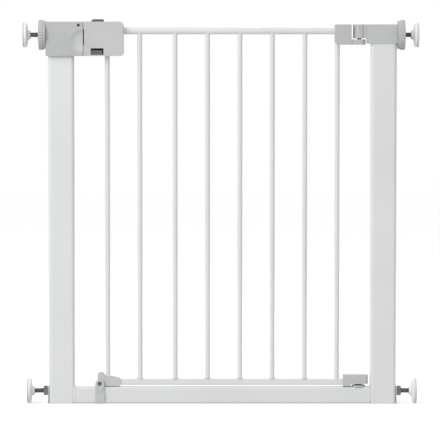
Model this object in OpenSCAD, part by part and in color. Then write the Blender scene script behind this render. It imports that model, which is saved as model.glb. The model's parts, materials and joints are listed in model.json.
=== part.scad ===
// Safety baby gate: a pressure-mounted frame, a swinging barred door, a double-lock handle,
// two pin hinges and four threaded wall spindles.
// Millimetres. +X is to the right, +Y to the back, +Z up.
// The origin is on the floor, under the middle of the bottom rail.

/* [Frame] */
// Outside width across the two uprights
frame_w = 695; // [690:1:705]
// Width of each upright, seen from the front
upright_w = 52; // [51:0.5:53]
// Depth of each upright, front to back
upright_d = 25; // [24.5:0.1:25.2]
// Corner radius of the uprights
upright_r = 7; // [5:0.5:8]
// Wall thickness of the frame's tubes
frame_wall = 1.5; // [1:0.1:2]
// Height of the bottom rail
rail_h = 33; // [32:0.5:33]

/* [Door] */
// Diameter of the door's bars
bar_d = 10; // [9:0.5:10]
// Wall thickness of the door's tubes
door_wall = 1.2; // [0.8:0.1:1.5]
// How much wider the second gap between bars is than the others
wide_gap_extra = 5.7; // [0:0.1:8]
// Diameter of the door's top rail
top_rail_d = 14; // [13:0.5:14]
// Height of the top rail's centre line
top_rail_z = 745; // [744:0.5:745]
// Height of the underside of the door's bottom rail
door_rail_z = 36.4; // [36:0.1:37]
// Height of the door's bottom rail section
door_rail_h = 12.6; // [12:0.1:13]
// Depth of the door's bottom rail section
door_rail_d = 9; // [8.5:0.1:9.5]

/* [Catch and handle] */
// Height of the top of both housings
housing_top = 763; // [763:0.5:764]
// Height of each housing, bottom to top
housing_h = 68; // [68:0.5:69]
// Depth of each housing, front to back
housing_d = 40; // [39:0.5:42]
// Wall thickness of the housings
housing_wall = 2.5; // [2:0.1:2.6]
// Gap between the catch and the closed handle
latch_gap = 1; // [0.8:0.1:1.6]

/* [Latch] */
// How far each button is pressed
button_travel = 3.5; // [3:0.1:3.5]
// Bolt travel for each millimetre of button travel
bolt_ratio = 1.5; // [1.3:0.05:1.5]
// Height of each bolt's section
bolt_h = 10; // [9:0.5:10]
// How far each bolt reaches past the handle's end
bolt_reach = 5.5; // [5:0.1:5.6]

/* [Hinges] */
// Diameter of both hinge pins
hinge_pin_d = 8; // [7:0.5:8]
// Distance from the right upright to the hinge axis
hinge_offset = 22.5; // [22.5:0.1:23]
// Radius of the upper hinge's knuckle
knuckle_r = 12.4; // [12:0.1:12.6]

/* [Wall spindles] */
// Diameter of the threaded spindles
spindle_d = 10; // [9:0.5:10]
// Height of the upper spindles
upper_spindle_z = 737; // [736:0.5:738]
// Height of the lower spindles
lower_spindle_z = 25; // [25:0.5:26]
// Diameter of the wall feet
foot_d = 49; // [46:1:50]
// Diameter of the handwheels over their ribs
wheel_d = 60; // [56:1:60]
// Thickness of the handwheels
wheel_t = 14; // [13:0.5:14]
// Number of grip ribs round each handwheel
wheel_ribs = 30; // [20:1:36]
// Distance from the middle of the gate to the upper left pad's face
upper_left_reach = 397; // [392:1:402]
// Distance from the middle of the gate to the upper right pad's face
upper_right_reach = 391; // [388:1:396]
// Distance from the middle of the gate to the lower left pad's face
lower_left_reach = 391; // [388:1:396]
// Distance from the middle of the gate to the lower right pad's face
lower_right_reach = 389; // [386:1:394]

/* [Hidden] */
$fn = 48;
// Fits: a fixed pin in its hole, a turning or sliding pin, and a loose hole
fixed_gap = 0.02;
running_gap = 0.06;
loose_gap = 0.3;
// A cutting tool runs this far past the face that it cuts
past = 1;

half_w = frame_w / 2;
inner_x = half_w - upright_w;
upright_x = half_w - upright_w / 2;
upright_top = housing_top - 8;
rail_d = upright_d - 2;

hinge_x = inner_x - hinge_offset;
hinge_pin_r = hinge_pin_d / 2;
hinge_bar_x = hinge_x - 43.8;
first_bar_x = 66.1 - inner_x;
bar_r = bar_d / 2;
bar_pitch = (hinge_bar_x - first_bar_x - wide_gap_extra) / 7;
bar_xs = [for (i = [0:7]) first_bar_x + i * bar_pitch + (i > 1 ? wide_gap_extra : 0)];
top_rail_r = top_rail_d / 2;
door_rail_top = door_rail_z + door_rail_h;
rail_left = first_bar_x - 10.8;

half_d = housing_d / 2;
cavity_half_d = half_d - housing_wall;
housing_bottom = housing_top - housing_h;
catch_left = -half_w - 3.5;
catch_right = 18.5 - inner_x;
catch_step_x = -inner_x - 3.5;
chamber_half_d = 12;
catch_screw_xs = [-upright_x - 16, -upright_x + 16];
catch_screw_zs = [housing_bottom + 12, housing_bottom + 52];
catch_pin_x = catch_right - 9;
catch_pin_z = housing_top - 7;
catch_pin_r = 3;
scoop_r = 58.5;
scoop_depth = 4.5;
handle_left = catch_right + latch_gap;
handle_right = first_bar_x + 32.4;

latch_z = housing_bottom + 36.5;
bolt_low = 3.5;
bolt_half_d = 5;
bolt_travel = button_travel * bolt_ratio;
stem_x = first_bar_x - 24.1;
stem_half_w = 3.5;
stem_half_d = 3.2;
ramp_start = 8.5;
ramp_gap = 0.4;
latch_rib_t = 2;
latch_rib_gap = 0.4;
guide_lip_half_h = 15.8;
outer_rib = bolt_low + bolt_h + latch_rib_gap;
spring_x = stem_x + 9.5;
spring_r = 2.6;
spring_wire_r = 0.5;
spring_ball_r = 0.54;
spring_turns = 4;
button_z = latch_z + 25;
top_button_left = stem_x - 8.9;
top_button_right = stem_x + 17.3;
low_button_left = stem_x - 6.8;
low_button_right = stem_x + 14.9;
low_button_bottom = housing_bottom + 2.2;
low_button_top = housing_bottom + 11.2;
window_left = low_button_left - 0.9;
window_right = low_button_right + 2.6;
window_top = housing_bottom + 15;
handle_screws_at = [
  [handle_left + 5.8, housing_bottom + 58.5],
  [handle_left + 5.8, housing_bottom + 11],
  [handle_right - 13, housing_bottom + 33],
  [handle_right - 10, housing_bottom + 8.5]
];

clip_x = 50.2 - inner_x;
clip_half_w = 8.9;
clip_head_z = 39.5;
clip_hole_z = 40.2;
clip_hole_r = 4.25;
peg_r = 2.5;

spindle_r = spindle_d / 2;
foot_r = foot_d / 2;
wheel_r = wheel_d / 2;
wheel_rib_r = 1.8;
catch_side = half_w + 3.5;
bracket_side = half_w + 1.5;
guide_side = half_w + 2;
sleeve_r = 7;
nut_t = 8.4;

white_paint = [0.86, 0.86, 0.87];
catch_grey = [0.74, 0.76, 0.75];
handle_grey = [0.78, 0.80, 0.82];
hinge_grey = [0.72, 0.72, 0.69];
clip_grey = [0.76, 0.77, 0.76];
cap_white = [0.88, 0.89, 0.90];
wheel_grey = [0.70, 0.71, 0.71];
button_grey = [0.30, 0.30, 0.33];
guide_black = [0.10, 0.10, 0.11];
steel = [0.40, 0.42, 0.44];
spring_steel = [0.62, 0.63, 0.65];
foot_white = [0.90, 0.91, 0.93];
rubber_grey = [0.80, 0.80, 0.81];

// ---- Shared shapes ----

// A box given by its limits
module block(x0, x1, y0, y1, z0, z1) {
  translate([x0, y0, z0])
    cube([x1 - x0, y1 - y0, z1 - z0]);
}

// A flat shape drawn in X and Z, made solid from y0 to y1
module along_y(y0, y1) {
  translate([0, y1, 0])
    rotate([90, 0, 0])
      linear_extrude(y1 - y0)
        children();
}

// A flat shape drawn in Y and Z, made solid from x0 to x1
module along_x(x0, x1) {
  translate([x0, 0, 0])
    rotate([90, 0, 90])
      linear_extrude(x1 - x0)
        children();
}

module x_cylinder(x0, x1, z, r) {
  translate([x0, 0, z])
    rotate([0, 90, 0])
      cylinder(h = x1 - x0, r = r);
}

module y_cylinder(x, z, y0, y1, r) {
  translate([x, y1, z])
    rotate([90, 0, 0])
      cylinder(h = y1 - y0, r = r);
}

module z_cylinder(x, z0, z1, r) {
  translate([x, 0, z0])
    cylinder(h = z1 - z0, r = r);
}

// A centred rectangle with four equal round corners
module round_rect(w, d, r) {
  square([w - 2 * r, d], center = true);
  square([w, d - 2 * r], center = true);
  for (x = [-1, 1], y = [-1, 1]) {
    translate([x * (w / 2 - r), y * (d / 2 - r)])
      circle(r);
  }
}

// A rectangle by its limits, with its own corner radius at each end
module end_round_rect(x0, x1, z0, z1, r_left, r_right) {
  translate([x0 + r_left, z0])
    square([x1 - x0 - r_left - r_right, z1 - z0]);
  translate([x0, z0 + r_left])
    square([r_left, z1 - z0 - 2 * r_left]);
  translate([x1 - r_right, z0 + r_right])
    square([r_right, z1 - z0 - 2 * r_right]);
  for (z = [0, 1]) {
    translate([x0 + r_left, z == 0 ? z0 + r_left : z1 - r_left])
      circle(r_left);
    translate([x1 - r_right, z == 0 ? z0 + r_right : z1 - r_right])
      circle(r_right);
  }
}

// Side pieces are drawn on the right, and mirrored for the left
module on_side(side) {
  if (side > 0) {
    children();
  } else {
    mirror([1, 0, 0])
      children();
  }
}

// Drawn with +Z pointing from the wall into the gate
module from_wall(reach, z) {
  translate([reach, 0, z])
    rotate([0, -90, 0])
      children();
}

// ---- Frame ----

module upright_outline(extra) {
  round_rect(upright_w + 2 * extra, upright_d + 2 * extra, upright_r + extra);
}

// The space that an upright fills, with some room round it
module upright_space(side, extra, z0, z1) {
  translate([side * upright_x, 0, z0])
    linear_extrude(z1 - z0)
      upright_outline(extra);
}

module upright(side) {
  on_side(side)
    difference() {
      upright_space(1, 0, 0, upright_top);
      upright_space(1, -frame_wall, -past, upright_top + past);
      x_cylinder(half_w - upright_r, half_w + past, upper_spindle_z, spindle_r + loose_gap);
      x_cylinder(half_w - upright_r, half_w + past, lower_spindle_z, sleeve_r + fixed_gap);
    }
}

module left_upright() {
  color(white_paint)
    difference() {
      upright(-1);
      for (x = catch_screw_xs, z = catch_screw_zs) {
        y_cylinder(x, z, -upright_d, upright_d, 2.2);
      }
    }
}

module right_upright() {
  color(white_paint)
    difference() {
      upright(1);
      bracket_screw_places()
        y_cylinder(0, 0, 0, upright_d, 1.6 + fixed_gap);
    }
}

module foot_plug(side) {
  on_side(side)
    difference() {
      upright_space(1, -frame_wall - fixed_gap, 0, 12);
      upright_space(1, -frame_wall - 2, 2, 12 + past);
    }
}

module foot_plug_left() {
  color(guide_black)
    foot_plug(-1);
}

module foot_plug_right() {
  color(guide_black)
    foot_plug(1);
}

module bottom_rail() {
  reach = inner_x + upright_r;
  color(white_paint)
    difference() {
      translate([0, 0, rail_h / 2])
        along_x(-reach, reach)
          round_rect(rail_d, rail_h, 4);
      translate([0, 0, rail_h / 2])
        along_x(-reach - past, reach + past)
          round_rect(rail_d - 2 * frame_wall, rail_h - 2 * frame_wall, 4 - frame_wall);
      for (side = [-1, 1]) {
        upright_space(side, 0, -past, rail_h + past);
      }
      for (z = [9, 20]) {
        y_cylinder(clip_x, z, -rail_d, 0, 3 + fixed_gap);
      }
      z_cylinder(hinge_x, rail_h / 2, rail_h + past, hinge_pin_r + fixed_gap);
    }
}

module lower_guide(side) {
  on_side(side)
    difference() {
      union() {
        translate([half_w, 0, 0])
          along_x(0, guide_side - half_w)
            translate([0, 17])
              round_rect(22, 34, 3);
        x_cylinder(half_w - 10, half_w + past, lower_spindle_z, sleeve_r);
      }
      x_cylinder(half_w - 10 - past, guide_side + past, lower_spindle_z, spindle_r + running_gap);
    }
}

module lower_guide_left() {
  color(clip_grey)
    lower_guide(-1);
}

module lower_guide_right() {
  color(clip_grey)
    lower_guide(1);
}

// ---- Catch ----

module catch_screw_places() {
  for (x = catch_screw_xs, z = catch_screw_zs) {
    translate([x, 0, z])
      children();
  }
}

// Both catch shells as one closed housing
module catch_housing() {
  difference() {
    union() {
      difference() {
        along_y(-half_d, half_d)
          end_round_rect(catch_left, catch_right, housing_bottom, housing_top, 1.2, 1);
        block(catch_left + housing_wall, catch_step_x, -cavity_half_d, cavity_half_d,
          housing_bottom + housing_wall, housing_top - housing_wall);
        block(catch_step_x - past, catch_right - housing_wall, -chamber_half_d, chamber_half_d,
          housing_bottom + housing_wall, housing_top - housing_wall);
      }
      difference() {
        for (z = [5, 26, 57]) {
          block(catch_left + past, catch_step_x + past, -half_d + past, half_d - past,
            housing_bottom + z, housing_bottom + z + latch_rib_t);
        }
        block(catch_step_x - past, 0, -chamber_half_d, chamber_half_d, housing_bottom, housing_top);
      }
      catch_screw_places()
        for (side = [-1, 1]) {
          y_cylinder(0, 0, side < 0 ? -half_d + past : upright_d / 2 + loose_gap,
            side < 0 ? -upright_d / 2 - loose_gap : half_d - past, 4.8);
        }
    }
    upright_space(-1, loose_gap, housing_bottom - past, upright_top + loose_gap);
    block(catch_right - 2 * housing_wall, catch_right + past, -9, 9, latch_z - 17.5, latch_z + 17.5);
    x_cylinder(catch_left - past, -half_w, upper_spindle_z, spindle_r + loose_gap);
    translate([catch_right - 2, scoop_depth - half_d - scoop_r, latch_z - 6.5])
      sphere(scoop_r, $fn = 96);
    y_cylinder(catch_pin_x, catch_pin_z, -half_d - past, half_d - 1.5, catch_pin_r + fixed_gap);
    catch_screw_places() {
      y_cylinder(0, 0, -17, 0, 1.7 + fixed_gap);
      y_cylinder(0, 0, 0, half_d, 2);
      y_cylinder(0, 0, 17.2, half_d + past, 3.6);
    }
  }
}

module catch_front_shell() {
  color(catch_grey)
    intersection() {
      catch_housing();
      block(catch_left - past, catch_right + past, -half_d, 0, housing_bottom, housing_top);
    }
}

module catch_rear_shell() {
  color(catch_grey)
    intersection() {
      catch_housing();
      block(catch_left - past, catch_right + past, 0, half_d, housing_bottom, housing_top);
    }
}

module bolt_pocket(z0) {
  block(catch_right - 12, catch_right + past, -bolt_half_d - 0.8, bolt_half_d + 0.8,
    z0 - 0.8, z0 + bolt_h + 0.8);
}

module strike_insert() {
  color(steel)
    difference() {
      union() {
        block(-inner_x + loose_gap, catch_right - housing_wall - fixed_gap, -11.6, 11.6,
          latch_z - 20.5, latch_z + 20.5);
        block(catch_right - 2 * housing_wall, catch_right - loose_gap, -8.7, 8.7,
          latch_z - 17.2, latch_z + 17.2);
      }
      bolt_pocket(latch_z + bolt_low);
      bolt_pocket(latch_z - bolt_low - bolt_h);
    }
}

module catch_screws() {
  color(steel)
    catch_screw_places() {
      y_cylinder(0, 0, -16.8, 17.3, 1.7);
      difference() {
        y_cylinder(0, 0, 17.2, 19.4, 3.4);
        screw_recess(19.4);
      }
    }
}

// The cross cut in a screw's head, opening towards +Y
module screw_recess(y) {
  for (a = [0, 90]) {
    rotate([0, a, 0])
      block(-1.9, 1.9, y - 1.2, y + past, -0.5, 0.5);
  }
}

module catch_pin() {
  color(guide_black)
    y_cylinder(catch_pin_x, catch_pin_z, -half_d, half_d - 1.5, catch_pin_r);
}

// ---- Upper hinge ----

module bracket_screw_places() {
  for (x = [-14, 14]) {
    translate([upright_x + x, 0, housing_bottom + 31])
      children();
  }
}

module upper_hinge_bracket() {
  knuckle_z = housing_bottom + 35.4;
  top_z = housing_bottom + 62.6;
  color(hinge_grey)
    difference() {
      union() {
        z_cylinder(hinge_x, knuckle_z, top_z, knuckle_r);
        block(hinge_x, inner_x, -9, 9, knuckle_z, top_z);
        along_y(-14, 14)
          end_round_rect(hinge_x + 15, bracket_side, housing_bottom + 24.4, top_z, 2, 1);
      }
      upright_space(1, fixed_gap, 0, upright_top + fixed_gap);
      z_cylinder(hinge_x, 0, top_z - 5, hinge_pin_r + fixed_gap);
      x_cylinder(half_w - past, bracket_side + past, upper_spindle_z, spindle_r + loose_gap);
      bracket_screw_places()
        y_cylinder(0, 0, 0, half_d, 2);
    }
}

module hinge_bracket_screws() {
  color(steel)
    bracket_screw_places() {
      y_cylinder(0, 0, 6, 14.1, 1.6);
      difference() {
        y_cylinder(0, 0, 14, 16, 3.4);
        screw_recess(16);
      }
    }
}

module upper_hinge_pin() {
  color(steel)
    z_cylinder(hinge_x, housing_bottom + 24, housing_bottom + 57.5, hinge_pin_r);
}

module upper_hinge_arm() {
  bottom_z = housing_bottom + 22.5;
  tongue_top = housing_bottom + 33;
  color(hinge_grey)
    difference() {
      union() {
        along_y(-14, 14)
          difference() {
            end_round_rect(hinge_bar_x - 5, hinge_x - 15.8, bottom_z, housing_bottom + 62.6, 2, 0.5);
            translate([hinge_bar_x - 5 - past, bottom_z - past])
              square(7 + past);
          }
        translate([hinge_bar_x + 2, 0, bottom_z + 7])
          rotate([90, 0, 0])
            translate([0, 0, -14])
              cylinder(h = 28, r = 7);
        block(hinge_bar_x + 2, hinge_x, -knuckle_r, knuckle_r, bottom_z, tongue_top);
        z_cylinder(hinge_x, bottom_z, tongue_top, knuckle_r);
      }
      x_cylinder(hinge_bar_x - 6, hinge_bar_x + 17, top_rail_z, top_rail_r + fixed_gap);
      z_cylinder(hinge_bar_x, bottom_z - past, top_rail_z, bar_r + fixed_gap);
      z_cylinder(hinge_x, bottom_z - past, tongue_top + past, hinge_pin_r + running_gap);
    }
}

// ---- Lower hinge ----

seat_top = rail_h + 3;
block_bottom = rail_h + 6;

module lower_hinge_seat() {
  color(hinge_grey)
    difference() {
      z_cylinder(hinge_x, rail_h, seat_top, 13.5);
      z_cylinder(hinge_x, 0, seat_top + past, hinge_pin_r + fixed_gap);
    }
}

module lower_hinge_washer() {
  color(guide_black)
    difference() {
      z_cylinder(hinge_x, seat_top, block_bottom - 0.4, 7);
      z_cylinder(hinge_x, 0, block_bottom, hinge_pin_r + fixed_gap);
    }
}

module lower_hinge_pin() {
  color(steel)
    union() {
      z_cylinder(hinge_x, rail_h - 4, block_bottom + 12.5, hinge_pin_r);
      z_cylinder(hinge_x, rail_h - 4, rail_h - frame_wall - 0.1, 7);
    }
}

module lower_hinge_block() {
  left = hinge_x - 31;
  top_z = door_rail_top + 8;
  color(hinge_grey)
    difference() {
      union() {
        block(left, hinge_x, -11, 11, block_bottom, top_z);
        intersection() {
          z_cylinder(hinge_x, block_bottom, top_z, 19);
          block(hinge_x - past, hinge_x + 20, -11, 11, block_bottom, top_z);
        }
        block(left, hinge_x - 15.5, -11, 11, rail_h + 1.5, block_bottom + past);
      }
      door_rail_space(left - past, left + 10, fixed_gap);
      z_cylinder(hinge_x, 0, block_bottom + 14, hinge_pin_r + running_gap);
    }
}

// ---- Door tubes ----

module door_rail_space(x0, x1, extra) {
  translate([0, 0, door_rail_z + door_rail_h / 2])
    along_x(x0, x1)
      round_rect(door_rail_d + 2 * extra, door_rail_h + 2 * extra, 2.5 + extra);
}

module door_bottom_rail() {
  right = hinge_x - 21.1;
  color(white_paint)
    difference() {
      door_rail_space(rail_left, right, 0);
      door_rail_space(rail_left - past, right + past, -door_wall);
      z_cylinder(hinge_bar_x, door_rail_z + door_wall, door_rail_top + past, bar_r + fixed_gap);
    }
}

module top_rail() {
  color(white_paint)
    difference() {
      x_cylinder(first_bar_x - 7.1, hinge_bar_x + 16.9, top_rail_z, top_rail_r);
      x_cylinder(first_bar_x - 9, hinge_bar_x + 18, top_rail_z, top_rail_r - door_wall);
    }
}

// A bar whose top is cut to sit against the round top rail
module bar(number, bottom_z, collar) {
  x = bar_xs[number - 1];
  color(white_paint)
    difference() {
      union() {
        z_cylinder(x, bottom_z, top_rail_z, bar_r);
        if (collar) {
          z_cylinder(x, bottom_z, bottom_z + 2, bar_r + 1.2);
        }
      }
      z_cylinder(x, bottom_z - past, top_rail_z, bar_r - door_wall);
      x_cylinder(x - bar_d, x + bar_d, top_rail_z, top_rail_r + fixed_gap);
    }
}

module bar_1() {
  bar(1, door_rail_top, false);
}

module bar_2() {
  bar(2, door_rail_top, true);
}

module bar_3() {
  bar(3, door_rail_top, true);
}

module bar_4() {
  bar(4, door_rail_top, true);
}

module bar_5() {
  bar(5, door_rail_top, true);
}

module bar_6() {
  bar(6, door_rail_top, true);
}

module bar_7() {
  bar(7, door_rail_top, true);
}

module bar_8() {
  bar(8, door_rail_z + door_wall, false);
}

// ---- Stop clip and the nose cap that closes against it ----

module stop_clip() {
  color(clip_grey)
    difference() {
      union() {
        block(clip_x - clip_half_w, clip_x + clip_half_w, -15.5, -rail_d / 2 - 0.1, 2.6, rail_h + 1);
        block(clip_x - clip_half_w, clip_x + clip_half_w, -17, -15, 2.6, 22);
        block(clip_x - clip_half_w, clip_x + clip_half_w, -15.5, -8.4, rail_h + 0.2, clip_head_z);
        difference() {
          y_cylinder(clip_x, clip_head_z, -15.5, -8.4, clip_half_w);
          block(clip_x - 10, clip_x + 10, -rail_d / 2 - 0.1, 0, 0, rail_h + 0.2);
        }
        for (side = [-1, 1]) {
          along_y(-16.6, -15)
            translate([clip_x, 0])
              polygon([[side * 1.2, 23], [side * 3.7, 23], [side * 8.4, 35], [side * 5.9, 35]]);
        }
        for (z = [9, 20]) {
          y_cylinder(clip_x, z, -12, -9.4, 3);
        }
      }
      y_cylinder(clip_x, clip_hole_z, -20, 0, clip_hole_r);
    }
}

module nose_cap() {
  left = clip_x - 4.7;
  right = first_bar_x + 24.4;
  color(cap_white)
    difference() {
      along_y(-8, 8)
        polygon([
          [left, rail_h + 1.6], [right, rail_h + 1.6], [right, door_rail_top + 1.6],
          [first_bar_x + 8, door_rail_top + 5], [first_bar_x - 6, door_rail_top + 5],
          [first_bar_x - 8, door_rail_top + 11], [first_bar_x - 11, door_rail_top + 13],
          [left + 4, door_rail_top + 13], [left, door_rail_top + 9]
        ]);
      door_rail_space(rail_left - fixed_gap, right + past, fixed_gap);
      z_cylinder(first_bar_x, door_rail_top - past, door_rail_top + 20, bar_r + fixed_gap);
      y_cylinder(clip_x, clip_hole_z, -9, -3, peg_r + fixed_gap);
    }
}

module nose_peg() {
  color(steel)
    y_cylinder(clip_x, clip_hole_z, -13.5, -3, peg_r);
}

// ---- Handle ----

module handle_screw_places() {
  for (p = handle_screws_at) {
    translate([p[0], 0, p[1]])
      children();
  }
}

// Both handle shells as one closed housing
module handle_housing() {
  difference() {
    union() {
      difference() {
        along_y(-half_d, half_d)
          end_round_rect(handle_left, handle_right, housing_bottom, housing_top, 1.5, 8);
        along_y(-cavity_half_d, cavity_half_d)
          end_round_rect(handle_left + housing_wall, handle_right - housing_wall,
            housing_bottom + housing_wall, housing_top - housing_wall, 0.5, 5.5);
      }
      for (side = [-1, 1], z = [bolt_low - latch_rib_gap - latch_rib_t, outer_rib]) {
        block(handle_left + past, stem_x + 13.5, -half_d + past, half_d - past,
          latch_z + (side < 0 ? -z - latch_rib_t : z), latch_z + (side < 0 ? -z : z + latch_rib_t));
      }
      for (x = [first_bar_x + 10.5, first_bar_x + 25.5]) {
        block(x, x + 2, -half_d + past, half_d - past, top_rail_z - 21, housing_top - past);
      }
      handle_screw_places() {
        y_cylinder(0, 0, -half_d + past, half_d - past, 3.5);
        y_cylinder(0, 0, 13, half_d - past, 4.8);
      }
    }
    // Openings for the rail, the first bar, the two buttons and the bolt guide
    x_cylinder(first_bar_x, handle_right + past, top_rail_z, top_rail_r + fixed_gap);
    z_cylinder(first_bar_x, housing_bottom - past, top_rail_z, bar_r + fixed_gap);
    block(top_button_left - 0.6, top_button_right + 0.6, -8.3, 8.3,
      housing_top - 2 * housing_wall, housing_top + past);
    block(window_left, window_right, -half_d - past, -cavity_half_d + past,
      housing_bottom + 2, window_top);
    block(window_left, window_right, -cavity_half_d, 8,
      housing_bottom - past, housing_bottom + 2 * housing_wall);
    block(stem_x - stem_half_w - 0.8, stem_x + stem_half_w + 0.8, -stem_half_d - 0.5,
      stem_half_d + 0.5, latch_z + outer_rib - past, latch_z + outer_rib + 3);
    block(stem_x - stem_half_w - 0.8, stem_x + stem_half_w + 0.8, -stem_half_d - 0.5,
      stem_half_d + 0.5, latch_z - outer_rib - 3, latch_z - outer_rib + past);
    block(handle_left - past, handle_left + 3, -8.8, 8.8, latch_z - 17.6, latch_z + 17.6);
    block(handle_left - past, handle_left + 1.4, -half_d - past, -8.8 + past,
      latch_z - guide_lip_half_h - 0.2, latch_z + guide_lip_half_h + 0.2);
    block(handle_left + housing_wall, handle_left + 4.4, -11.2, 11.2,
      latch_z - 17.6, latch_z + 17.6);
    handle_screw_places() {
      y_cylinder(0, 0, -13.2, 0, 1.5 + fixed_gap);
      y_cylinder(0, 0, 0, half_d, 1.8);
      y_cylinder(0, 0, 15.5, half_d + past, 3.6);
    }
  }
}

module handle_front_shell() {
  color(handle_grey)
    intersection() {
      handle_housing();
      block(handle_left - past, handle_right + past, -half_d, 0, housing_bottom, housing_top);
    }
}

module handle_rear_shell() {
  color(handle_grey)
    intersection() {
      handle_housing();
      block(handle_left - past, handle_right + past, 0, half_d, housing_bottom, housing_top);
    }
}

module handle_screws() {
  color(steel)
    handle_screw_places() {
      y_cylinder(0, 0, -13, 15.6, 1.5);
      difference() {
        y_cylinder(0, 0, 15.5, 17.6, 3.3);
        screw_recess(17.6);
      }
    }
}

module bolt_guide() {
  color(guide_black)
    difference() {
      union() {
        block(handle_left - 0.3, handle_left + 4.2, -8.6, 8.6, latch_z - 17.4, latch_z + 17.4);
        block(handle_left - 0.3, handle_left + 1.2, -half_d + 2.2, 0,
          latch_z - guide_lip_half_h, latch_z + guide_lip_half_h);
        block(handle_left + 2.6, handle_left + 4.2, -11, 11, latch_z - 17.4, latch_z + 17.4);
      }
      for (z0 = [bolt_low, -bolt_low - bolt_h]) {
        block(handle_left - 4, handle_left + 6, -bolt_half_d - loose_gap, bolt_half_d + loose_gap,
          latch_z + z0 - loose_gap, latch_z + z0 + bolt_h + loose_gap);
      }
    }
}

// ---- Latch parts, drawn for the upper set and mirrored about the latch's middle ----

module latch_half(side) {
  translate([0, 0, latch_z])
    if (side > 0) {
      children();
    } else {
      mirror([0, 0, 1])
        children();
    }
}

module bolt(side) {
  latch_half(side)
    difference() {
      block(handle_left - bolt_reach, stem_x + 9, -bolt_half_d, bolt_half_d,
        bolt_low, bolt_low + bolt_h);
      along_y(-stem_half_d - 0.4, stem_half_d + 0.4)
        translate([stem_x, bolt_low])
          polygon([
            [-stem_half_w - bolt_travel - 0.75, -past],
            [-ramp_start - past * bolt_ratio, -past],
            [-ramp_start + (bolt_h + past) * bolt_ratio, bolt_h + past],
            [-stem_half_w - bolt_travel - 0.75, bolt_h + past]
          ]);
    }
}

// The wedge below a button, from its tip on the bolt's ramp up to z = top
module stem(side, top) {
  tip = bolt_low + ramp_gap + (ramp_start - stem_half_w) / bolt_ratio;
  latch_half(side)
    along_y(-stem_half_d, stem_half_d)
      translate([stem_x, 0])
        polygon([
          [-stem_half_w, tip],
          [stem_half_w, tip + 2 * stem_half_w / bolt_ratio],
          [stem_half_w, top],
          [-stem_half_w, top]
        ]);
}

module upper_bolt() {
  color(steel)
    bolt(1);
}

module lower_bolt() {
  color(steel)
    bolt(-1);
}

module top_button() {
  color(button_grey)
    union() {
      along_y(-7.7, 7.7)
        polygon([
          [top_button_left, button_z + 2], [top_button_right, button_z + 2],
          [top_button_right, housing_top + 5], [top_button_left + 5.2, housing_top + 5],
          [top_button_left, housing_top]
        ]);
      block(top_button_left - 2, top_button_right + 2, -9.5, 9.5, button_z, button_z + 3);
      stem(1, button_z - latch_z + past);
    }
}

module lower_button() {
  color(button_grey)
    union() {
      block(low_button_left, low_button_right, -half_d + 1.2, 7.4, low_button_bottom, low_button_top);
      block(low_button_left - 2.7, low_button_right, -16.8, 11,
        housing_bottom + 2.8, housing_bottom + 5);
      stem(-1, latch_z - low_button_top + past);
    }
}

// A coil made of level half turns joined by sloping half turns, with a ball at each joint
module half_turn(r) {
  rotate([0, 0, 2])
    rotate_extrude(angle = 176)
      translate([r, 0])
        circle(spring_wire_r, $fn = 16);
}

module spring(z0, z1) {
  rise = (z1 - z0 - 2 * spring_ball_r) / spring_turns;
  slope_r = sqrt(spring_r * spring_r + rise * rise / 4);
  color(spring_steel)
    translate([spring_x, 0, z0 + spring_ball_r])
      union() {
        for (i = [0:spring_turns]) {
          translate([0, 0, i * rise]) {
            half_turn(spring_r);
            translate([spring_r, 0, 0])
              sphere(spring_ball_r, $fn = 24);
            translate([-spring_r, 0, 0])
              sphere(spring_ball_r, $fn = 24);
          }
        }
        for (i = [0:spring_turns - 1]) {
          translate([0, 0, (i + 0.5) * rise])
            rotate([0, -atan(rise / 2 / spring_r), 0])
              rotate([0, 0, 180])
                half_turn(slope_r);
        }
      }
}

module upper_spring() {
  spring(latch_z + outer_rib + latch_rib_t + 0.05, button_z - 0.05);
}

module lower_spring() {
  spring(low_button_top + 0.05, latch_z - outer_rib - latch_rib_t - 0.05);
}

// ---- Wall spindles ----

module spindle(side, reach, z, tail_x) {
  color(steel)
    on_side(side)
      x_cylinder(tail_x, reach - 6.5, z, spindle_r);
}

module foot(side, reach, z) {
  color(foot_white)
    on_side(side)
      from_wall(reach, z)
        difference() {
          rotate_extrude()
            polygon([
              [0, 3], [foot_r, 3], [foot_r, 6.5], [foot_r - 1.5, 8], [10, 10], [8.5, 15], [0, 15]
            ]);
          translate([0, 0, 6.4])
            cylinder(h = 10, r = spindle_r + fixed_gap);
          translate([0, 0, 3 - past])
            cylinder(h = past + 2.1, r = 6 + fixed_gap);
        }
}

module pad(side, reach, z) {
  color(rubber_grey)
    on_side(side)
      from_wall(reach, z)
        union() {
          cylinder(h = 3, r = foot_r);
          cylinder(h = 5, r = 6);
        }
}

// The wheel's outer part is ribbed; the part next to the housing is plain and smaller
module handwheel(side, face_x) {
  color(wheel_grey)
    on_side(side)
      translate([face_x, 0, upper_spindle_z])
        rotate([0, 90, 0])
          difference() {
            union() {
              cylinder(h = wheel_t, r = wheel_r - wheel_rib_r);
              for (i = [0:wheel_ribs - 1]) {
                rotate([0, 0, i * 360 / wheel_ribs])
                  translate([wheel_r - wheel_rib_r, 0, 4.5])
                    cylinder(h = wheel_t - 4.5, r = wheel_rib_r, $fn = 16);
              }
            }
            translate([0, 0, wheel_t - 4])
              difference() {
                cylinder(h = 4 + past, r = wheel_r - 7);
                translate([0, 0, -past])
                  cylinder(h = 6 + past, r = 10);
              }
            translate([0, 0, -past])
              cylinder(h = wheel_t + 2 * past, r = spindle_r + running_gap);
          }
}

module nut(side) {
  color(steel)
    on_side(side)
      translate([guide_side + 0.4, 0, lower_spindle_z])
        rotate([0, 90, 0])
          difference() {
            cylinder(h = nut_t, r = 9.8, $fn = 6);
            translate([0, 0, -past])
              cylinder(h = nut_t + 2 * past, r = spindle_r + running_gap);
          }
}

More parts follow.
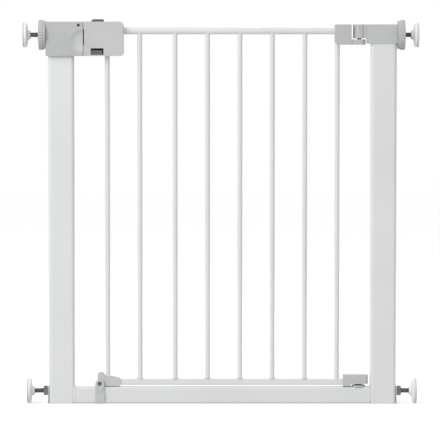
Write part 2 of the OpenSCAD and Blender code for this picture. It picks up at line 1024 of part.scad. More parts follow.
module spindle_upper_left() {
  spindle(-1, upper_left_reach, upper_spindle_z, upright_x - 8);
}

module foot_upper_left() {
  foot(-1, upper_left_reach, upper_spindle_z);
}

module pad_upper_left() {
  pad(-1, upper_left_reach, upper_spindle_z);
}

module handwheel_left() {
  handwheel(-1, catch_side + 0.5);
}

module spindle_upper_right() {
  spindle(1, upper_right_reach, upper_spindle_z, upright_x - 8);
}

module foot_upper_right() {
  foot(1, upper_right_reach, upper_spindle_z);
}

module pad_upper_right() {
  pad(1, upper_right_reach, upper_spindle_z);
}

module handwheel_right() {
  handwheel(1, bracket_side + 0.5);
}

module spindle_lower_left() {
  spindle(-1, lower_left_reach, lower_spindle_z, upright_x - 8);
}

module foot_lower_left() {
  foot(-1, lower_left_reach, lower_spindle_z);
}

module pad_lower_left() {
  pad(-1, lower_left_reach, lower_spindle_z);
}

module nut_left() {
  nut(-1);
}

module spindle_lower_right() {
  spindle(1, lower_right_reach, lower_spindle_z, upright_x - 8);
}

module foot_lower_right() {
  foot(1, lower_right_reach, lower_spindle_z);
}

module pad_lower_right() {
  pad(1, lower_right_reach, lower_spindle_z);
}

module nut_right() {
  nut(1);
}

// ---- Drawing ----

left_upright();
right_upright();
foot_plug_left();
foot_plug_right();
bottom_rail();
lower_guide_left();
lower_guide_right();
catch_front_shell();
catch_rear_shell();
strike_insert();
catch_screws();
catch_pin();
upper_hinge_bracket();
hinge_bracket_screws();
upper_hinge_pin();
lower_hinge_seat();
lower_hinge_washer();
lower_hinge_pin();
stop_clip();
top_rail();
door_bottom_rail();
bar_1();
bar_2();
bar_3();
bar_4();
bar_5();
bar_6();
bar_7();
bar_8();
handle_front_shell();
handle_rear_shell();
handle_screws();
bolt_guide();
upper_hinge_arm();
lower_hinge_block();
nose_cap();
nose_peg();
top_button();
lower_button();
upper_bolt();
lower_bolt();
upper_spring();
lower_spring();
spindle_upper_left();
foot_upper_left();
pad_upper_left();
handwheel_left();
spindle_upper_right();
foot_upper_right();
pad_upper_right();
handwheel_right();
spindle_lower_left();
foot_lower_left();
pad_lower_left();
nut_left();
spindle_lower_right();
foot_lower_right();
pad_lower_right();
nut_right();
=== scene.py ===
"""Looks for the safety baby gate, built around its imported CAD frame.

Lengths are metres. Those in millimetres are multiplied by MM where they are used.
"""

import json
import math

import bmesh
import bpy
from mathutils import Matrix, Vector


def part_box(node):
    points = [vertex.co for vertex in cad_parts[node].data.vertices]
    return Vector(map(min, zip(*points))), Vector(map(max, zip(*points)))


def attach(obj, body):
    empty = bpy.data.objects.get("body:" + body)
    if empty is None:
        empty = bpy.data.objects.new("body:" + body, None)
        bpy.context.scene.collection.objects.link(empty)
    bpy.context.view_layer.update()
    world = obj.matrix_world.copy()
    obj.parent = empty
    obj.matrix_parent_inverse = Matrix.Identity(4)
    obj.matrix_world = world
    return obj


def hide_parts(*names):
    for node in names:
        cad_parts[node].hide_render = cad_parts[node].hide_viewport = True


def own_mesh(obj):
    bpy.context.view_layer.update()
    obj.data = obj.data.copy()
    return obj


MM = 0.001

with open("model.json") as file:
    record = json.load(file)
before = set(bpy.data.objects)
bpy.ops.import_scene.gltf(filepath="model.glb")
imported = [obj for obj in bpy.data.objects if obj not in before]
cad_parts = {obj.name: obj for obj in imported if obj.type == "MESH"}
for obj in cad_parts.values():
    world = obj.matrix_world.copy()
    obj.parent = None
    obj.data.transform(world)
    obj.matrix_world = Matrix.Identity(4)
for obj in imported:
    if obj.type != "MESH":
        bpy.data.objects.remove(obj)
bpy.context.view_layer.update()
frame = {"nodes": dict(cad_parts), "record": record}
nodes = frame["nodes"]
node_body = {n: body for body, names in frame["record"]["behaviour"]["bodies"].items() for n in names}


# ---------------------------------------------------------------- camera, light and floor

PHOTO_W = 440
PHOTO_SCALE = 2.0 * MM
CAMERA_DISTANCE = 5.0
CAMERA_PITCH = math.radians(3.0)
VIEW_X = -4.6 * MM
VIEW_Z = 384.6 * MM
SENSOR = 36.0

# strength of the world's light, and how it leans towards the left and above
WORLD_LEVEL = 0.72
WORLD_LEAN = (-0.16, 0.0, 0.20)
LIGHTS_AIM = (0, 0, 0.4)
# keeps a white floor white where the lamps don't reach
FLOOR_GLOW = 0.22
FLOOR_TONE = 0.90
FLOOR_DROP = 0.4 * MM
FLOOR_SIZE = 9
BACKDROP_RADIUS = 10


def make_camera():
    data = bpy.data.cameras.new("studio_camera")
    data.sensor_width = SENSOR
    data.lens = SENSOR * CAMERA_DISTANCE / (PHOTO_W * PHOTO_SCALE)
    data.clip_start = 0.05
    data.clip_end = 60.0
    camera = bpy.data.objects.new("studio_camera", data)
    away = CAMERA_DISTANCE * math.cos(CAMERA_PITCH)
    camera.location = (VIEW_X, -away, VIEW_Z + CAMERA_DISTANCE * math.sin(CAMERA_PITCH))
    camera.rotation_euler = (math.radians(90) - CAMERA_PITCH, 0, 0)
    bpy.context.scene.collection.objects.link(camera)
    bpy.context.scene.camera = camera


def area_light(name, place, size_x, size_y, power):
    data = bpy.data.lights.new(name, "AREA")
    data.shape = "RECTANGLE"
    data.size = size_x
    data.size_y = size_y
    data.energy = power
    lamp = bpy.data.objects.new(name, data)
    lamp.location = place
    lamp.rotation_euler = (Vector(LIGHTS_AIM) - Vector(place)).to_track_quat("-Z", "Y").to_euler()
    bpy.context.scene.collection.objects.link(lamp)


def stage_piece(name, bm, place):
    """A piece of the studio, which isn't part of the object and sends no light back to it."""
    mesh = bpy.data.meshes.new(name)
    bm.to_mesh(mesh)
    bm.free()
    obj = bpy.data.objects.new(name, mesh)
    obj.location = place
    obj.visible_diffuse = False
    bpy.context.scene.collection.objects.link(obj)
    mat = bpy.data.materials.new(name)
    mat.use_nodes = True
    mesh.materials.append(mat)
    return obj, mat.node_tree


def make_world():
    """Soft light from all round: strongest from above and the left, weakest from below."""
    world = bpy.data.worlds.new("studio_light")
    world.use_nodes = True
    tree = world.node_tree
    direction = tree.nodes.new("ShaderNodeTexCoord").outputs["Generated"]
    lean = tree.nodes.new("ShaderNodeVectorMath")
    lean.operation = "DOT_PRODUCT"
    lean.inputs[1].default_value = WORLD_LEAN
    tree.links.new(direction, lean.inputs[0])
    level = tree.nodes.new("ShaderNodeMapRange")
    level.inputs["From Min"].default_value = -1.0
    level.inputs["From Max"].default_value = 1.0
    level.inputs["To Min"].default_value = WORLD_LEVEL - 1.0
    level.inputs["To Max"].default_value = WORLD_LEVEL + 1.0
    tree.links.new(lean.outputs["Value"], level.inputs["Value"])
    tree.nodes["Background"].inputs["Color"].default_value = (1, 1, 1, 1)
    tree.links.new(level.outputs["Result"], tree.nodes["Background"].inputs["Strength"])
    bpy.context.scene.world = world


def make_studio():
    bpy.context.scene.view_settings.view_transform = "Standard"
    make_world()
    area_light("key_softbox", (-1.7, -2.0, 1.9), 1.3, 1.3, 30)
    area_light("fill_softbox", (2.2, -1.9, 1.2), 1.2, 1.6, 2)
    area_light("rear_softbox", (0.8, 2.4, 2.2), 1.8, 1.2, 14)

    bm = bmesh.new()
    bmesh.ops.create_grid(bm, x_segments=8, y_segments=8, size=FLOOR_SIZE)
    _, tree = stage_piece("studio_floor", bm, (0, 0, -FLOOR_DROP))
    shader = tree.nodes["Principled BSDF"]
    shader.inputs["Base Color"].default_value = (FLOOR_TONE, FLOOR_TONE, FLOOR_TONE, 1)
    shader.inputs["Roughness"].default_value = 0.9
    shader.inputs["Specular IOR Level"].default_value = 0.2
    shader.inputs["Emission Color"].default_value = (1, 1, 1, 1)
    shader.inputs["Emission Strength"].default_value = FLOOR_GLOW

    bm = bmesh.new()
    bmesh.ops.create_icosphere(bm, subdivisions=4, radius=BACKDROP_RADIUS)
    dome, tree = stage_piece("studio_backdrop", bm, (0, 0, 0))
    dome.visible_glossy = False
    dome.visible_transmission = False
    dome.visible_shadow = False
    glow = tree.nodes.new("ShaderNodeEmission")
    glow.inputs["Strength"].default_value = 1.0
    tree.links.new(glow.outputs[0], tree.nodes["Material Output"].inputs["Surface"])


# ---------------------------------------------------------------- materials

# a painted highlight patch keeps its full tone out to this share of its radius
HIGHLIGHT_CORE = 0.55
SPECKLE_FADE = 0.12
# roughness wanders over patches this many times smaller than the colour's
WANDER_RATIO = 3.3
GRAIN_STRENGTH = 0.6
RELIEF_STRENGTH = 0.5


def noise_node(tree, coords, scale, detail, shift):
    """A noise texture in cycles per metre. Each use has its own shift, so no two patterns line up."""
    mapping = tree.nodes.new("ShaderNodeMapping")
    mapping.inputs["Location"].default_value = (shift, shift * 1.7, shift * 0.6)
    tree.links.new(coords, mapping.inputs["Vector"])
    tex = tree.nodes.new("ShaderNodeTexNoise")
    tex.inputs["Scale"].default_value = scale
    tex.inputs["Detail"].default_value = detail
    tree.links.new(mapping.outputs["Vector"], tex.inputs["Vector"])
    return tex.outputs["Fac"]


def spread(tree, value, low, high, start=0.3, end=0.7):
    """Maps a value's start..end onto low..high."""
    node = tree.nodes.new("ShaderNodeMapRange")
    node.inputs["From Min"].default_value = start
    node.inputs["From Max"].default_value = end
    node.inputs["To Min"].default_value = low
    node.inputs["To Max"].default_value = high
    tree.links.new(value, node.inputs["Value"])
    return node.outputs["Result"]


def mixed(tree, factor, a, b):
    node = tree.nodes.new("ShaderNodeMix")
    node.data_type = "RGBA"
    tree.links.new(factor, node.inputs[0])
    for socket, colour in ((node.inputs[6], a), (node.inputs[7], b)):
        if isinstance(colour, tuple):
            socket.default_value = (*colour, 1)
        else:
            tree.links.new(colour, socket)
    return node.outputs[2]


def highlight_patch(tree, coords, colour, place, radius, tone):
    """A soft-edged patch round a place on the object, painted to another tone: a painted highlight."""
    away = tree.nodes.new("ShaderNodeVectorMath")
    away.operation = "DISTANCE"
    away.inputs[1].default_value = place
    tree.links.new(coords, away.inputs[0])
    highlight_mask = spread(tree, away.outputs["Value"], 1.0, 0.0, radius * HIGHLIGHT_CORE, radius)
    return mixed(tree, highlight_mask, colour, tone)


def finish_material(
    name,
    light,
    dark,
    rough,
    grain,
    grain_depth,
    metallic=0.0,
    patch=9.0,
    coat=0.0,
    coat_rough=0.2,
    speckle=None,
    relief=None,
    specular=0.5,
    painted_highlight=None,
):
    """A moulded, painted or plated surface, with soft colour patches, a fine grain and a wandering roughness.

    speckle is (tone, scale, start), relief is (depth, scale) and painted_highlight is (place, radius, tone),
    a patch of painted highlight.
    """
    mat = bpy.data.materials.new(name)
    mat.use_nodes = True
    tree = mat.node_tree
    shader = tree.nodes["Principled BSDF"]
    coords = tree.nodes.new("ShaderNodeTexCoord").outputs["Object"]
    tone = spread(tree, noise_node(tree, coords, patch, 4.0, 3.1), 0.0, 1.0)
    colour = mixed(tree, tone, light, dark)
    if speckle:
        spot_tone, spot_scale, start = speckle
        dots = noise_node(tree, coords, spot_scale, 1.0, 8.3)
        spots = spread(tree, dots, 0.0, 1.0, start, start + SPECKLE_FADE)
        colour = mixed(tree, spots, colour, spot_tone)
    # a lighter patch painted into the colour as a highlight, where light falls on the surface
    if painted_highlight:
        colour = highlight_patch(tree, coords, colour, *painted_highlight)
    tree.links.new(colour, shader.inputs["Base Color"])
    wander = noise_node(tree, coords, patch * WANDER_RATIO, 3.0, 5.7)
    tree.links.new(spread(tree, wander, rough[0], rough[1]), shader.inputs["Roughness"])
    shader.inputs["Metallic"].default_value = metallic
    shader.inputs["Specular IOR Level"].default_value = specular
    shader.inputs["Coat Weight"].default_value = coat
    shader.inputs["Coat Roughness"].default_value = coat_rough
    bump = tree.nodes.new("ShaderNodeBump")
    bump.inputs["Strength"].default_value = GRAIN_STRENGTH
    bump.inputs["Distance"].default_value = grain_depth
    tree.links.new(noise_node(tree, coords, grain, 2.0, 1.9), bump.inputs["Height"])
    if relief:
        relief_depth, relief_scale = relief
        wave = tree.nodes.new("ShaderNodeBump")
        wave.inputs["Strength"].default_value = RELIEF_STRENGTH
        wave.inputs["Distance"].default_value = relief_depth
        tree.links.new(noise_node(tree, coords, relief_scale, 2.0, 4.4), wave.inputs["Height"])
        tree.links.new(wave.outputs["Normal"], bump.inputs["Normal"])
    tree.links.new(bump.outputs["Normal"], shader.inputs["Normal"])
    return mat


def grey(value, tint=(1.0, 1.0, 1.0)):
    return tuple(value * t for t in tint)


COOL = (0.992, 1.0, 1.012)
SAGE = (0.968, 1.0, 0.982)
# the catch's scooped end is painted lighter where light falls on it: a painted highlight
CATCH_HIGHLIGHT_PLACE = (-0.279, -0.020, 0.722)
CATCH_HIGHLIGHT_RADIUS = 0.024
MATERIALS = {
    # powder coat: soft orange peel about 1 mm across
    "white_paint": finish_material(
        "powder_coat_white",
        grey(0.775, COOL),
        grey(0.735, COOL),
        (0.34, 0.44),
        1100,
        0.00006,
        patch=5.0,
        coat=0.25,
        coat_rough=0.18,
        relief=(0.00010, 260),
    ),
    "catch_plastic": finish_material(
        "moulded_grey_catch",
        grey(0.515, SAGE),
        grey(0.475, SAGE),
        (0.46, 0.58),
        3200,
        0.00003,
        patch=14.0,
        painted_highlight=(CATCH_HIGHLIGHT_PLACE, CATCH_HIGHLIGHT_RADIUS, grey(0.60, SAGE)),
    ),
    "handle_plastic": finish_material(
        "moulded_grey_handle", grey(0.575, COOL), grey(0.535, COOL), (0.42, 0.54), 3200, 0.00003, patch=14.0
    ),
    "hinge_plastic": finish_material(
        "moulded_grey_hinge", grey(0.555, SAGE), grey(0.515, SAGE), (0.46, 0.58), 3200, 0.00003, patch=18.0
    ),
    "clip_plastic": finish_material(
        "moulded_grey_clip", grey(0.60, SAGE), grey(0.56, SAGE), (0.46, 0.58), 3200, 0.00003, patch=22.0
    ),
    "cap_plastic": finish_material(
        "moulded_pale_cap", grey(0.60, COOL), grey(0.56, COOL), (0.44, 0.56), 3200, 0.00003, patch=22.0
    ),
    "wheel_plastic": finish_material(
        "moulded_grey_wheel", grey(0.52, SAGE), grey(0.47, SAGE), (0.45, 0.58), 3000, 0.00003, patch=20.0
    ),
    "button_plastic": finish_material(
        "moulded_dark_button",
        (0.130, 0.127, 0.138),
        (0.108, 0.105, 0.115),
        (0.36, 0.48),
        2800,
        0.00003,
        patch=30.0,
    ),
    # black that stands for shade: on the bolt guide it paints the shade in the slit between the catch and the
    # handle
    "dark_plastic": finish_material(
        "moulded_black_painted_shade", (0.028, 0.028, 0.030), (0.020, 0.020, 0.022), (0.42, 0.55), 2600, 0.00003, patch=30.0
    ),
    "steel": finish_material(
        "zinc_plated_steel",
        (0.20, 0.205, 0.215),
        (0.13, 0.135, 0.142),
        (0.28, 0.44),
        1400,
        0.00002,
        metallic=1.0,
        patch=90.0,
        speckle=((0.27, 0.28, 0.29), 420, 0.60),
    ),
    "spring_steel": finish_material(
        "drawn_spring_wire",
        (0.44, 0.45, 0.47),
        (0.34, 0.35, 0.37),
        (0.24, 0.36),
        2400,
        0.00001,
        metallic=1.0,
        patch=120.0,
    ),
    "foot_plastic": finish_material(
        "moulded_white_foot", grey(0.86, COOL), grey(0.82, COOL), (0.38, 0.50), 3000, 0.00003, patch=20.0
    ),
    "pad_rubber": finish_material(
        "soft_grip_pad",
        grey(0.66, COOL),
        grey(0.61, COOL),
        (0.66, 0.82),
        2200,
        0.00005,
        patch=30.0,
        speckle=(grey(0.56), 900, 0.62),
        specular=0.3,
    ),
}


# ---------------------------------------------------------------- mesh helpers

MERGE_DISTANCE = 1e-7
FILLET_STEPS = 4

# how polish() rounds a CAD node's edges: mm, degrees, bevel steps
WELD_DISTANCE = 0.002
FLAT_ANGLE = 0.6
EDGE_ANGLE = 28
EDGE_SEGMENTS = 3
NORMAL_WEIGHT = 60


def new_piece(name, verts, faces, slot, body, *replaced):
    """A mesh piece with outward normals, its slot's material, and its place on a body."""
    mesh = bpy.data.meshes.new(name)
    mesh.from_pydata([tuple(v) for v in verts], [], faces)
    bm = bmesh.new()
    bm.from_mesh(mesh)
    bmesh.ops.remove_doubles(bm, verts=bm.verts, dist=MERGE_DISTANCE)
    bmesh.ops.recalc_face_normals(bm, faces=bm.faces)
    for face in bm.faces:
        face.smooth = True
    bm.to_mesh(mesh)
    bm.free()
    obj = bpy.data.objects.new(name, mesh)
    bpy.context.scene.collection.objects.link(obj)
    mesh.materials.append(MATERIALS[slot])
    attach(obj, body)
    if replaced:
        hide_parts(*replaced)
    return obj


def ring_faces(rows, columns, close_rows):
    """Quads over a grid of rows x columns points whose columns wrap round."""
    faces = []
    for r in range(rows if close_rows else rows - 1):
        a, b = r * columns, ((r + 1) % rows) * columns
        for c in range(columns):
            d = (c + 1) % columns
            faces.append((a + c, a + d, b + d, b + c))
    return faces


def rounded_profile(points):
    """Points of a closed (u, r) outline with each corner (u, r, fillet) rounded."""
    out = []
    count = len(points)
    for i, (u, r, fillet) in enumerate(points):
        here = Vector((u, r))
        if fillet <= 0:
            out.append(here)
            continue
        before = (Vector(points[i - 1][:2]) - here).normalized()
        after = (Vector(points[(i + 1) % count][:2]) - here).normalized()
        half = before.angle(after) / 2
        reach = fillet / math.tan(half)
        start, end = here + before * reach, here + after * reach
        centre = here + (before + after).normalized() * (fillet / math.sin(half))
        a0 = math.atan2(*(start - centre).yx)
        a1 = math.atan2(*(end - centre).yx)
        turn = (a1 - a0 + math.pi) % (2 * math.pi) - math.pi
        for k in range(FILLET_STEPS + 1):
            angle = a0 + turn * k / FILLET_STEPS
            out.append(centre + Vector((math.cos(angle), math.sin(angle))) * fillet)
    return out


def lathe_x(profile, side, origin_x, axis_z, segments, shape=None):
    """Verts and faces of a closed (u, r) profile turned about the line along X at z = axis_z.

    u runs outward from origin_x. shape(u, r, angle) gives the radius where it isn't plain r.
    """
    verts = []
    for u, r in profile:
        for k in range(segments):
            angle = 2 * math.pi * k / segments
            radius = shape(u, r, angle) if shape else r
            verts.append(
                (
                    side * (origin_x + u) * MM,
                    radius * math.cos(angle) * MM,
                    (axis_z + radius * math.sin(angle)) * MM,
                )
            )
    return verts, ring_faces(len(profile), segments, True)


def lathe_pole_x(profile, side, origin_x, axis_z, segments, shape=None):
    """A solid turned about X from an open (u, r) profile, closed by a flat face at each end."""
    verts, _ = lathe_x(profile, side, origin_x, axis_z, segments, shape)
    rows = len(profile)
    faces = ring_faces(rows, segments, False)
    faces.append(tuple(range(segments)))
    faces.append(tuple((rows - 1) * segments + k for k in range(segments)))
    return verts, faces


def tube(points, radius, sides):
    """Verts and faces of a closed-ended round tube along points, in metres."""
    points = [Vector(p) for p in points]
    verts = []
    up = None
    for i, point in enumerate(points):
        ahead = points[min(i + 1, len(points) - 1)]
        behind = points[max(i - 1, 0)]
        along = (ahead - behind).normalized()
        if up is None:
            up = along.orthogonal().normalized()
        up = (up - along * up.dot(along)).normalized()
        across = along.cross(up)
        for k in range(sides):
            angle = 2 * math.pi * k / sides
            verts.append(point + up * (radius * math.cos(angle)) + across * (radius * math.sin(angle)))
    faces = ring_faces(len(points), sides, False)
    faces.append(tuple(range(sides)))
    faces.append(tuple((len(points) - 1) * sides + k for k in range(sides)))
    return verts, faces


def polish(obj, width):
    """Rounds a CAD node's sharp edges with modifiers only, on flat faces joined back into single polygons."""
    weld = obj.modifiers.new("weld", "WELD")
    weld.merge_threshold = WELD_DISTANCE * MM
    flat = obj.modifiers.new("flat", "DECIMATE")
    flat.decimate_type = "DISSOLVE"
    flat.angle_limit = math.radians(FLAT_ANGLE)
    edge = obj.modifiers.new("edge", "BEVEL")
    edge.width = width * MM
    edge.segments = EDGE_SEGMENTS
    edge.limit_method = "ANGLE"
    edge.angle_limit = math.radians(EDGE_ANGLE)
    edge.use_clamp_overlap = True
    edge.miter_outer = "MITER_ARC"
    normals = obj.modifiers.new("normals", "WEIGHTED_NORMAL")
    normals.keep_sharp = False
    normals.weight = NORMAL_WEIGHT


def middle(node):
    low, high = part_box(node)
    return (low + high) / 2


make_camera()
make_studio()

# ---------------------------------------------------------------- CAD nodes that keep their shape

slot_of = {n: obj.material_slots[0].name for n, obj in nodes.items()}
for n, obj in nodes.items():
    obj.material_slots[0].material = MATERIALS[slot_of[n]]

# bevel widths in mm, and the one for every other node
SMALL_EDGE = 0.25
EDGE_WIDTH = {
    "left_upright": 0.8,
    "right_upright": 0.8,
    "bottom_rail": 0.8,
    "catch_front_shell": 0.7,
    "catch_rear_shell": 0.7,
    "handle_front_shell": 0.7,
    "handle_rear_shell": 0.7,
    "upper_hinge_bracket": 0.9,
    "upper_hinge_arm": 0.9,
    "lower_hinge_block": 0.8,
    "nose_cap": 0.8,
    "stop_clip": 0.5,
    "top_button": 0.7,
    "lower_button": 0.5,
}

# ---------------------------------------------------------------- handwheels

RIBS = 30
RIB_STEPS = 8
RIB_VALLEY = 0.05
RIB_ROUNDNESS = 0.7
WHEEL_CORE_R = 28.2
# (u, r, fillet) in mm, with u outward from the wheel's inner face
WHEEL_PROFILE = [
    (0.0, 5.15, 0.0),
    (0.0, WHEEL_CORE_R, 0.9),
    (4.5, WHEEL_CORE_R, 0.25),
    (4.9, 29.8, 0.6),
    (14.0, 29.8, 1.1),
    (14.0, 23.2, 0.9),
    (10.0, 22.4, 0.9),
    (10.0, 10.8, 0.9),
    (14.0, 10.0, 0.9),
    (14.0, 5.15, 0.0),
]


def rib_shape(u, r, angle):
    """Rounded grip ribs round the rim, fading to the plain core."""
    if r <= WHEEL_CORE_R:
        return r
    crest = 0.5 + 0.5 * math.cos(angle * RIBS)
    return WHEEL_CORE_R + (r - WHEEL_CORE_R) * (RIB_VALLEY + (1 - RIB_VALLEY) * crest**RIB_ROUNDNESS)


def build_handwheel(name, side):
    low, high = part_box(name)
    inner = min(abs(low.x), abs(high.x)) / MM
    verts, faces = lathe_x(
        rounded_profile(WHEEL_PROFILE), side, inner, middle(name).z / MM, RIBS * RIB_STEPS, rib_shape
    )
    new_piece(name + "_ribbed", verts, faces, "wheel_plastic", node_body[name], name)


# ---------------------------------------------------------------- wall feet, pads and threaded spindles

TURNED_SEGMENTS = 96
# (u, r, fillet) in mm, with u inward from the wall face
FOOT_PROFILE = [
    (3.0, 6.15, 0.0),
    (3.0, 24.5, 0.5),
    (6.5, 24.5, 0.8),
    (8.0, 23.0, 0.9),
    (10.0, 10.0, 1.6),
    (15.0, 8.5, 0.9),
    (15.0, 5.1, 0.0),
    (5.3, 5.1, 0.0),
    (5.3, 6.15, 0.0),
]
POLE_R = 0.6
PAD_GROOVES = (5.0, 8.0, 11.0, 14.0, 17.0, 20.0, 22.6)
# one side of a groove, as (depth, half width)
PAD_GROOVE_SIDE = ((0.0, 0.6), (0.12, 0.42), (0.5, 0.25))
PAD_RIM = [(0.0, 23.8), (0.1, 24.2), (0.35, 24.45), (0.6, 24.5), (2.6, 24.5), (2.9, 24.42), (3.0, 24.2)]
PAD_PEG = [(3.0, 6.0), (5.0, 6.0), (5.0, POLE_R)]
THREAD_PITCH = 1.5
THREAD_STEPS = 6
THREAD_SIDES = 24
THREAD_ROOT = 4.15
THREAD_CREST = 4.96
# how steep a flank is, and how much of it the root's flat takes off
THREAD_FLANK = 1.5
THREAD_FLAT = 0.25
THREAD_INSET = 0.5
SPINDLE_END_R = 3.6


def pad_profile():
    """From the middle of the wall face, over its grip grooves and rim, to the peg behind."""
    points = [(0.0, POLE_R)]
    for r in PAD_GROOVES:
        points += [(depth, r - half) for depth, half in PAD_GROOVE_SIDE]
        points += [(depth, r + half) for depth, half in reversed(PAD_GROOVE_SIDE)]
    return points + PAD_RIM + PAD_PEG


def thread_shape(u, r, angle):
    """The thread's radius wherever the profile is at its crest."""
    if r != THREAD_CREST:
        return r
    phase = (u / THREAD_PITCH - angle / (2 * math.pi)) % 1.0
    tooth = (1 - abs(2 * phase - 1)) * THREAD_FLANK - THREAD_FLAT
    return THREAD_ROOT + (THREAD_CREST - THREAD_ROOT) * min(max(tooth, 0.0), 1.0)


def build_foot(place, side):
    foot, pad, spindle = f"foot_{place}", f"pad_{place}", f"spindle_{place}"
    z = middle(foot).z / MM
    low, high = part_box(pad)
    reach = max(abs(low.x), abs(high.x)) / MM
    outward = [(-u, r, f) for u, r, f in FOOT_PROFILE]
    verts, faces = lathe_x(rounded_profile(outward), side, reach, z, TURNED_SEGMENTS)
    new_piece(f"{foot}_turned", verts, faces, "foot_plastic", node_body[foot], foot)
    verts, faces = lathe_pole_x([(-u, r) for u, r in pad_profile()], side, reach, z, TURNED_SEGMENTS)
    new_piece(f"{pad}_grooved", verts, faces, "pad_rubber", node_body[pad], pad)

    low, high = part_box(spindle)
    start, end = sorted((abs(low.x) / MM, abs(high.x) / MM))
    rows = int((end - start - 2 * THREAD_INSET) / THREAD_PITCH * THREAD_STEPS)
    profile = [(0.0, SPINDLE_END_R)]
    profile += [(THREAD_INSET + i * THREAD_PITCH / THREAD_STEPS, THREAD_CREST) for i in range(rows + 1)]
    profile.append((end - start, SPINDLE_END_R))
    verts, faces = lathe_pole_x(profile, side, start, z, THREAD_SIDES, thread_shape)
    new_piece(f"{spindle}_threaded", verts, faces, "steel", node_body[spindle], spindle)


# ---------------------------------------------------------------- hexagon nuts

# a radius no nut has, which marks where the six sides set it
HEXAGON = 99.0
NUT_BORE_R = 5.3
NUT_CORNER_R = 9.8
NUT_FLAT = NUT_CORNER_R * math.cos(math.radians(30))
NUT_CHAMFERS = ((0.0, 8.35), (0.15, 8.75), (0.45, 9.2), (0.8, 9.6), (1.2, NUT_CORNER_R))
NUT_SEGMENTS = 144
NUT_SHARP_ANGLE = 24


def build_nut(name, side):
    low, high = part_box(name)
    start, end = sorted((abs(low.x) / MM, abs(high.x) / MM))
    thick = end - start
    profile = [(0.0, NUT_BORE_R)] + [(u, HEXAGON) for u, _ in NUT_CHAMFERS]
    profile += [(thick - u, HEXAGON) for u, _ in reversed(NUT_CHAMFERS)] + [(thick, NUT_BORE_R)]

    def hexagon(u, r, angle):
        if r != HEXAGON:
            return r
        off = (angle - math.pi / 2) % (math.pi / 3) - math.pi / 6
        return min(NUT_FLAT / math.cos(off), chamfer_limit(min(u, thick - u)))

    verts, faces = lathe_x(profile, side, start, middle(name).z / MM, NUT_SEGMENTS, hexagon)
    piece = new_piece(name + "_chamfered", verts, faces, "steel", node_body[name], name)
    mark_sharp(piece, NUT_SHARP_ANGLE)


def chamfer_limit(depth):
    """How far out a nut's corner may reach at this depth from its face."""
    for (u0, r0), (u1, r1) in zip(NUT_CHAMFERS, NUT_CHAMFERS[1:]):
        if depth <= u1 + 1e-9:
            return r0 + (r1 - r0) * (depth - u0) / (u1 - u0)
    return NUT_CHAMFERS[-1][1]


def mark_sharp(obj, degrees):
    """Keeps hard edges hard under smooth shading."""
    bm = bmesh.new()
    bm.from_mesh(obj.data)
    for edge in bm.edges:
        if len(edge.link_faces) == 2 and edge.calc_face_angle(0) > math.radians(degrees):
            edge.smooth = False
    bm.to_mesh(obj.data)
    bm.free()


# ---------------------------------------------------------------- coil springs

WIRE_R = 0.5
COIL_STEPS = 28
COIL_TURNS = 5.0
WIRE_SIDES = 12
# the share of the wire that lies flat at each end
FLAT_TURN_SHARE = 0.1


def build_spring(name):
    """A coil spring wound to fill the spring's box; the real one shortens towards its seat as its button is
    pressed.
    """
    low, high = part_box(name)
    centre = (low + high) / 2
    coil_r = (high.y - low.y) / 2 - WIRE_R * MM
    bottom, top = low.z + WIRE_R * MM, high.z - WIRE_R * MM
    count = int(COIL_TURNS * COIL_STEPS)
    points = []
    for i in range(count + 1):
        t = i / count
        rise = min(max((t - FLAT_TURN_SHARE) / (1 - 2 * FLAT_TURN_SHARE), 0.0), 1.0)
        angle = 2 * math.pi * COIL_TURNS * t
        x, y = centre.x + coil_r * math.cos(angle), coil_r * math.sin(angle)
        points.append((x, y, bottom + (top - bottom) * rise))
    verts, faces = tube(points, WIRE_R * MM, WIRE_SIDES)
    coil = new_piece(name + "_coil", verts, faces, "spring_steel", node_body[name], name)
    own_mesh(coil)


# ---------------------------------------------------------------- painted weld beads

BAR_R = 5.0
RAIL_R = 7.0
BEAD = 1.5
BEAD_STEPS = 5
BEAD_SIDES = 36
MIDDLE_BARS = range(2, 8)
# how far a bead's edges sink into the bar and the rail
SINK_BAR = 0.06
SINK_RAIL = 0.04
# how far its hidden back lies inside them
BACK_BAR = 0.9
BACK_RAIL = 0.6
BACK_INSET = 0.2

RAIL_BEAD_R = 0.9
RAIL_BEAD_SIDES = 10
RAIL_BEAD_START_Z = 1.5
RAIL_BEAD_SET = 0.1
RAIL_CORNER = 2.0
CORNER_STEPS = 4


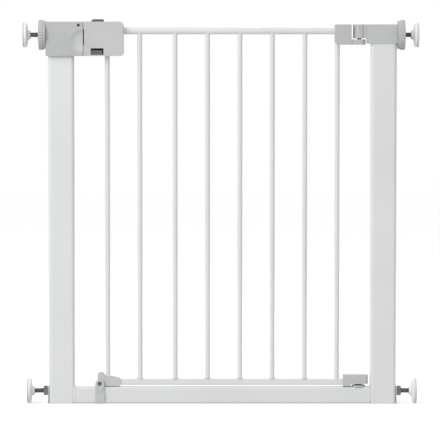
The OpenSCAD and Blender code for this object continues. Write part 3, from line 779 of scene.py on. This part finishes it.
def build_bar_welds():
    """A small concave bead where each middle bar meets the round top rail."""
    rail_z = middle("top_rail").z / MM
    verts, faces = [], []
    for number in MIDDLE_BARS:
        bar_x = middle(f"bar_{number}").x / MM
        rows = []
        for i in range(BEAD_STEPS + 1):
            a = i / BEAD_STEPS
            rows.append((BAR_R - SINK_BAR + BEAD * a * a, -BEAD * (1 - a) ** 2 + SINK_RAIL))
        rows.append((BAR_R + BEAD - BACK_INSET, BACK_RAIL))
        rows += [(BAR_R - BACK_BAR, BACK_RAIL), (BAR_R - BACK_BAR, -BEAD)]
        base = len(verts)
        for rho, drop in rows:
            for k in range(BEAD_SIDES):
                angle = 2 * math.pi * k / BEAD_SIDES
                across = rho * math.sin(angle)
                on_rail = rail_z - math.sqrt(max(RAIL_R**2 - across**2, 0.0))
                verts.append(((bar_x + rho * math.cos(angle)) * MM, across * MM, (on_rail + drop) * MM))
        faces += [tuple(base + i for i in f) for f in ring_faces(len(rows), BEAD_SIDES, True)]
    new_piece("bar_weld_beads", verts, faces, "white_paint", "door")


def build_rail_welds():
    """A bead round each end of the bottom rail, where it is welded to an upright."""
    low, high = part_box("bottom_rail")
    for side, upright in ((-1, "left_upright"), (1, "right_upright")):
        a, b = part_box(upright)
        x = (b.x if side < 0 else a.x) - side * RAIL_BEAD_SET * MM
        top, half = high.z, high.y
        bend = RAIL_CORNER * MM
        start_z = RAIL_BEAD_START_Z * MM
        points = [(x, -half, start_z)]
        points += [(x, -half, z) for z in (0.3 * top, 0.6 * top)]
        for i in range(CORNER_STEPS + 1):
            angle = math.radians(90 * i / CORNER_STEPS)
            points.append((x, -half + bend * (1 - math.cos(angle)), top - bend * (1 - math.sin(angle))))
        points += [(x, y, top) for y in (-0.4 * half, 0.0, 0.4 * half)]
        for i in range(CORNER_STEPS + 1):
            angle = math.radians(90 * i / CORNER_STEPS)
            points.append((x, half - bend * (1 - math.sin(angle)), top - bend * (1 - math.cos(angle))))
        points += [(x, half, z) for z in (0.6 * top, 0.3 * top, start_z)]
        verts, faces = tube(points, RAIL_BEAD_R * MM, RAIL_BEAD_SIDES)
        new_piece(f"rail_weld_bead_{'left' if side < 0 else 'right'}", verts, faces, "white_paint", "frame")


for name, side in (("handwheel_left", -1), ("handwheel_right", 1)):
    build_handwheel(name, side)
for height in ("upper", "lower"):
    build_foot(height + "_left", -1)
    build_foot(height + "_right", 1)
build_nut("nut_left", -1)
build_nut("nut_right", 1)
build_spring("upper_spring")
build_spring("lower_spring")
build_bar_welds()
build_rail_welds()

for n, obj in nodes.items():
    if not obj.hide_render:
        polish(obj, EDGE_WIDTH.get(n, SMALL_EDGE))
